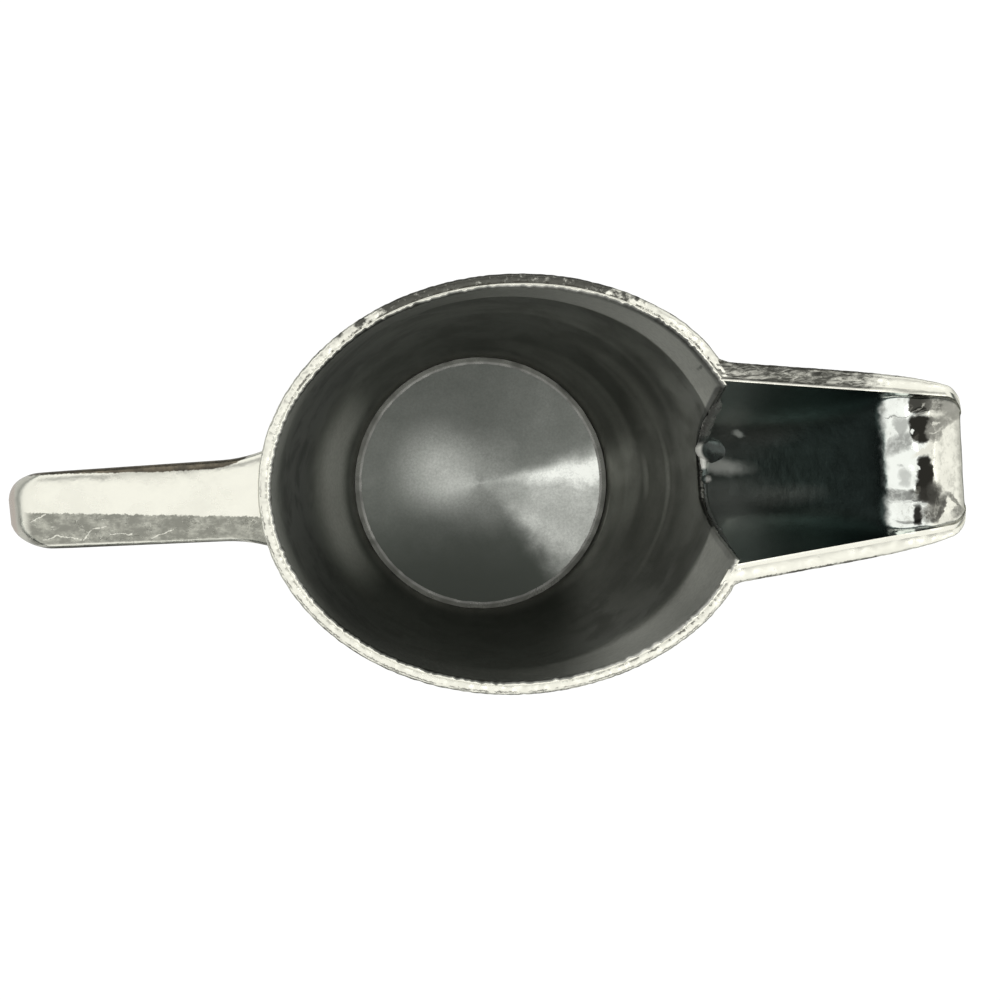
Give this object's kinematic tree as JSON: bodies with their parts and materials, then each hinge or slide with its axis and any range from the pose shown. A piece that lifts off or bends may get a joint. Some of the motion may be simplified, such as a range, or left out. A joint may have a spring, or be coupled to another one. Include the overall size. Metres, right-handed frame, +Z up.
{
  "type": "creamer",
  "caption": "Small metal cream jug with an oval mouth edged in wire, a scoop spout, a hollow strap handle and a round foot ring.",
  "frame": {"origin": "on the table, under the centre of the foot ring, which is also halfway between the tip of the lip and the back of the handle", "axes": "+X toward the spout, +Y to the left of the spout, +Z up"},
  "size_m": [0.154, 0.067, 0.0737],
  "materials": {
    "polished_silver": "polished silver plate, worn and finely scratched",
    "body_silver": "polished outside, dark and tarnished inside",
    "spout_silver": "polished lip and outside, dark and glossy inside",
    "turned_floor": "turned in fine rings",
    "grey_solder": "dull solder"
  },
  "bodies": {
    "root": {"body_shell": "body_silver", "floor_disc": "turned_floor", "floor_solder_ring": "grey_solder", "foot_ring": "polished_silver", "mouth_wire": "polished_silver", "spout_trough": "spout_silver", "spout_wire_left": "polished_silver", "spout_wire_right": "polished_silver", "spout_solder_bead": "grey_solder", "handle_outer_half": "polished_silver", "handle_inner_half": "polished_silver", "handle_upper_solder": "grey_solder", "handle_lower_solder": "grey_solder"}
  },
  "joints": []
}
